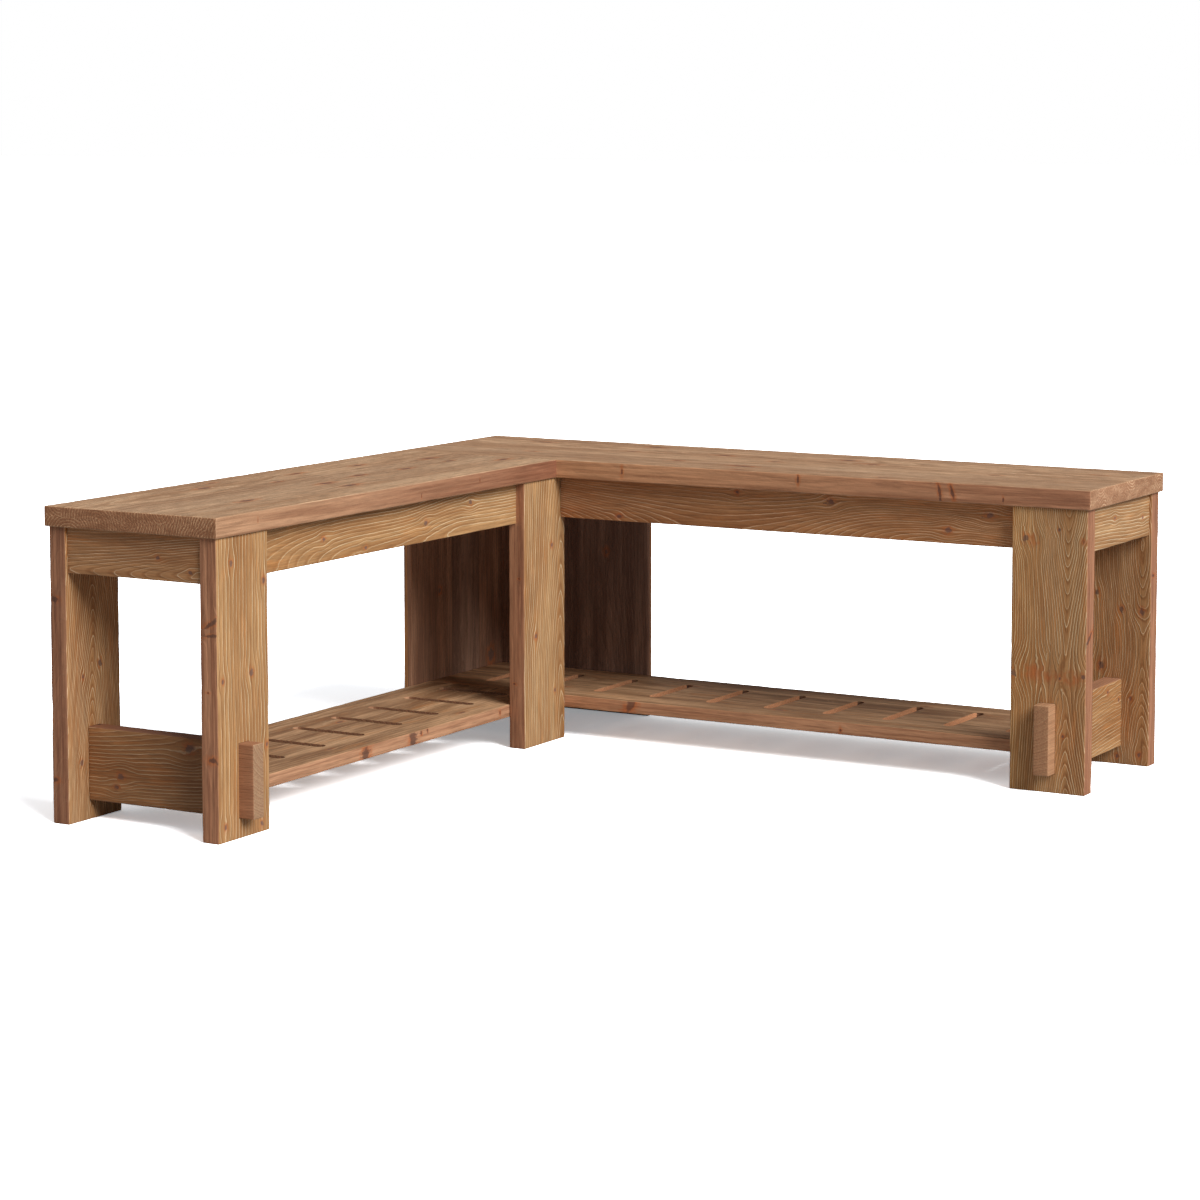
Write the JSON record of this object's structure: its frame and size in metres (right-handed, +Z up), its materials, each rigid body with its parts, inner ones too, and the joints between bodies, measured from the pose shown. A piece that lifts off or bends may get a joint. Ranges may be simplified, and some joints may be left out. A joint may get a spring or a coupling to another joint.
{
  "type": "corner shoe storage bench",
  "caption": "L-shaped solid wood corner bench with a slotted shoe shelf near the floor, plank legs, aprons and end rails whose through tenons stand out of the front legs.",
  "frame": {"origin": "on the floor, under the middle of the box round the L-shaped footprint", "axes": "+Z up; the outer back corner of the L is at -X +Y, one wing runs from it along +X and the other along -Y"},
  "size_m": [1.219, 1.219, 0.4585],
  "materials": {
    "seat_wood": "satin oiled softwood",
    "leg_wood": "satin oiled softwood",
    "apron_wood": "satin oiled softwood",
    "stretcher_wood": "satin oiled softwood",
    "panel_wood": "satin oiled softwood",
    "shelf_wood": "satin oiled softwood",
    "batten_wood": "sawn softwood",
    "dowel_wood": "turned hardwood",
    "screw_steel": "zinc plated"
  },
  "bodies": {
    "root": {"apron_dowels": "dowel_wood", "apron_left_back": "apron_wood", "apron_left_end": "apron_wood", "apron_left_front": "apron_wood", "apron_right_back": "apron_wood", "apron_right_end": "apron_wood", "apron_right_front": "apron_wood", "corner_panel_left": "panel_wood", "corner_panel_right": "panel_wood", "corner_panel_screws": "screw_steel", "leg_inner_corner": "leg_wood", "leg_left_back": "leg_wood", "leg_left_front": "leg_wood", "leg_right_back": "leg_wood", "leg_right_front": "leg_wood", "seat_cleat_left_back": "batten_wood", "seat_cleat_left_front": "batten_wood", "seat_cleat_right_back": "batten_wood", "seat_cleat_right_front": "batten_wood", "seat_cleat_screws": "screw_steel", "seat_joint_dowels": "dowel_wood", "seat_left": "seat_wood", "seat_right": "seat_wood", "shelf_cleat_corner_left": "batten_wood", "shelf_cleat_corner_right": "batten_wood", "shelf_cleat_left_end": "batten_wood", "shelf_cleat_right_end": "batten_wood", "shelf_cleat_screws": "screw_steel", "shelf_joint_dowels": "dowel_wood", "shelf_left": "shelf_wood", "shelf_right": "shelf_wood", "stretcher_left": "stretcher_wood", "stretcher_right": "stretcher_wood"}
  },
  "joints": []
}
